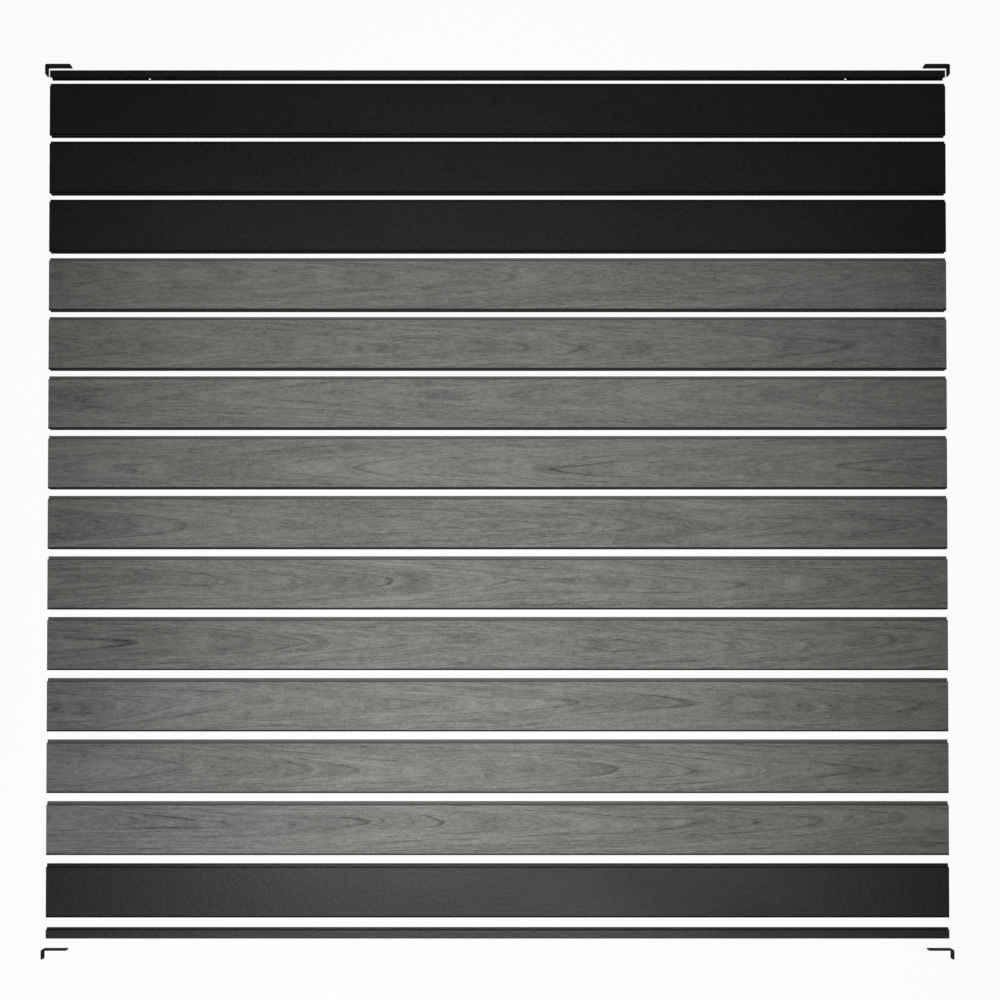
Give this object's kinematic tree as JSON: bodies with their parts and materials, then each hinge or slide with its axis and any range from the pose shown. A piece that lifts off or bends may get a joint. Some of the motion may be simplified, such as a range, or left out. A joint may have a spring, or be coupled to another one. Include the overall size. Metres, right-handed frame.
{
  "type": "garden privacy screen",
  "caption": "Garden privacy screen kit laid out flat: tongue-and-groove boards that slide together between a base rail and a capping rail, with L brackets for the posts",
  "frame": {"origin": "under the middle of the laid-out kit, on the plane it lies on", "axes": "+X along the boards to the right, +Y up the panel towards the capping rail, +Z out of the boards' faces"},
  "size_m": [1.85, 1.8256, 0.02],
  "materials": {
    "grey_composite": "grey wood-plastic composite with a printed wood grain, matt",
    "black_coat": "black powder coat, fine texture, satin",
    "rail_coat": "black powder coat, fine texture, satin",
    "bracket_black": "black coated steel strip, satin"
  },
  "bodies": {
    "top_rail": {"top_rail": "rail_coat"},
    "black_board_1": {"black_board_1": "black_coat"},
    "black_board_2": {"black_board_2": "black_coat"},
    "black_board_3": {"black_board_3": "black_coat"},
    "grey_board_01": {"grey_board_01": "grey_composite"},
    "grey_board_02": {"grey_board_02": "grey_composite"},
    "grey_board_03": {"grey_board_03": "grey_composite"},
    "grey_board_04": {"grey_board_04": "grey_composite"},
    "grey_board_05": {"grey_board_05": "grey_composite"},
    "grey_board_06": {"grey_board_06": "grey_composite"},
    "grey_board_07": {"grey_board_07": "grey_composite"},
    "grey_board_08": {"grey_board_08": "grey_composite"},
    "grey_board_09": {"grey_board_09": "grey_composite"},
    "grey_board_10": {"grey_board_10": "grey_composite"},
    "bottom_board": {"bottom_board": "black_coat"},
    "bottom_rail": {"bottom_rail": "rail_coat"},
    "bracket_top_left": {"bracket_top_left": "bracket_black"},
    "bracket_top_right": {"bracket_top_right": "bracket_black"},
    "bracket_bottom_left": {"bracket_bottom_left": "bracket_black"},
    "bracket_bottom_right": {"bracket_bottom_right": "bracket_black"}
  },
  "joints": [
    {"name": "seat_bottom_board", "type": "slide", "parent": "bottom_rail", "child": "bottom_board", "axis": [0, -1, 0], "range_m": [0, 0.0242]},
    {"name": "seat_grey_board_10", "type": "slide", "parent": "bottom_board", "child": "grey_board_10", "axis": [0, -1, 0], "range_m": [0, 0.0238]},
    {"name": "seat_grey_board_09", "type": "slide", "parent": "grey_board_10", "child": "grey_board_09", "axis": [0, -1, 0], "range_m": [0, 0.02322]},
    {"name": "seat_grey_board_08", "type": "slide", "parent": "grey_board_09", "child": "grey_board_08", "axis": [0, -1, 0], "range_m": [0, 0.02264]},
    {"name": "seat_grey_board_07", "type": "slide", "parent": "grey_board_08", "child": "grey_board_07", "axis": [0, -1, 0], "range_m": [0, 0.02206]},
    {"name": "seat_grey_board_06", "type": "slide", "parent": "grey_board_07", "child": "grey_board_06", "axis": [0, -1, 0], "range_m": [0, 0.02148]},
    {"name": "seat_grey_board_05", "type": "slide", "parent": "grey_board_06", "child": "grey_board_05", "axis": [0, -1, 0], "range_m": [0, 0.0209]},
    {"name": "seat_grey_board_04", "type": "slide", "parent": "grey_board_05", "child": "grey_board_04", "axis": [0, -1, 0], "range_m": [0, 0.02032]},
    {"name": "seat_grey_board_03", "type": "slide", "parent": "grey_board_04", "child": "grey_board_03", "axis": [0, -1, 0], "range_m": [0, 0.01974]},
    {"name": "seat_grey_board_02", "type": "slide", "parent": "grey_board_03", "child": "grey_board_02", "axis": [0, -1, 0], "range_m": [0, 0.01916]},
    {"name": "seat_grey_board_01", "type": "slide", "parent": "grey_board_02", "child": "grey_board_01", "axis": [0, -1, 0], "range_m": [0, 0.01858]},
    {"name": "seat_black_board_3", "type": "slide", "parent": "grey_board_01", "child": "black_board_3", "axis": [0, -1, 0], "range_m": [0, 0.018]},
    {"name": "seat_black_board_2", "type": "slide", "parent": "black_board_3", "child": "black_board_2", "axis": [0, -1, 0], "range_m": [0, 0.01742]},
    {"name": "seat_black_board_1", "type": "slide", "parent": "black_board_2", "child": "black_board_1", "axis": [0, -1, 0], "range_m": [0, 0.01684]},
    {"name": "seat_top_rail", "type": "slide", "parent": "black_board_1", "child": "top_rail", "axis": [0, -1, 0], "range_m": [0, 0.01626]},
    {"name": "seat_bracket_top_left", "type": "slide", "parent": "top_rail", "child": "bracket_top_left", "axis": [0, -1, 0], "range_m": [0, 0.0102]},
    {"name": "seat_bracket_bottom_left", "type": "slide", "parent": "bottom_rail", "child": "bracket_bottom_left", "axis": [0, 1, 0], "range_m": [0, 0.0217]},
    {"name": "seat_bracket_top_right", "type": "slide", "parent": "top_rail", "child": "bracket_top_right", "axis": [0, -1, 0], "range_m": [0, 0.0102]},
    {"name": "seat_bracket_bottom_right", "type": "slide", "parent": "bottom_rail", "child": "bracket_bottom_right", "axis": [0, 1, 0], "range_m": [0, 0.0217]}
  ]
}
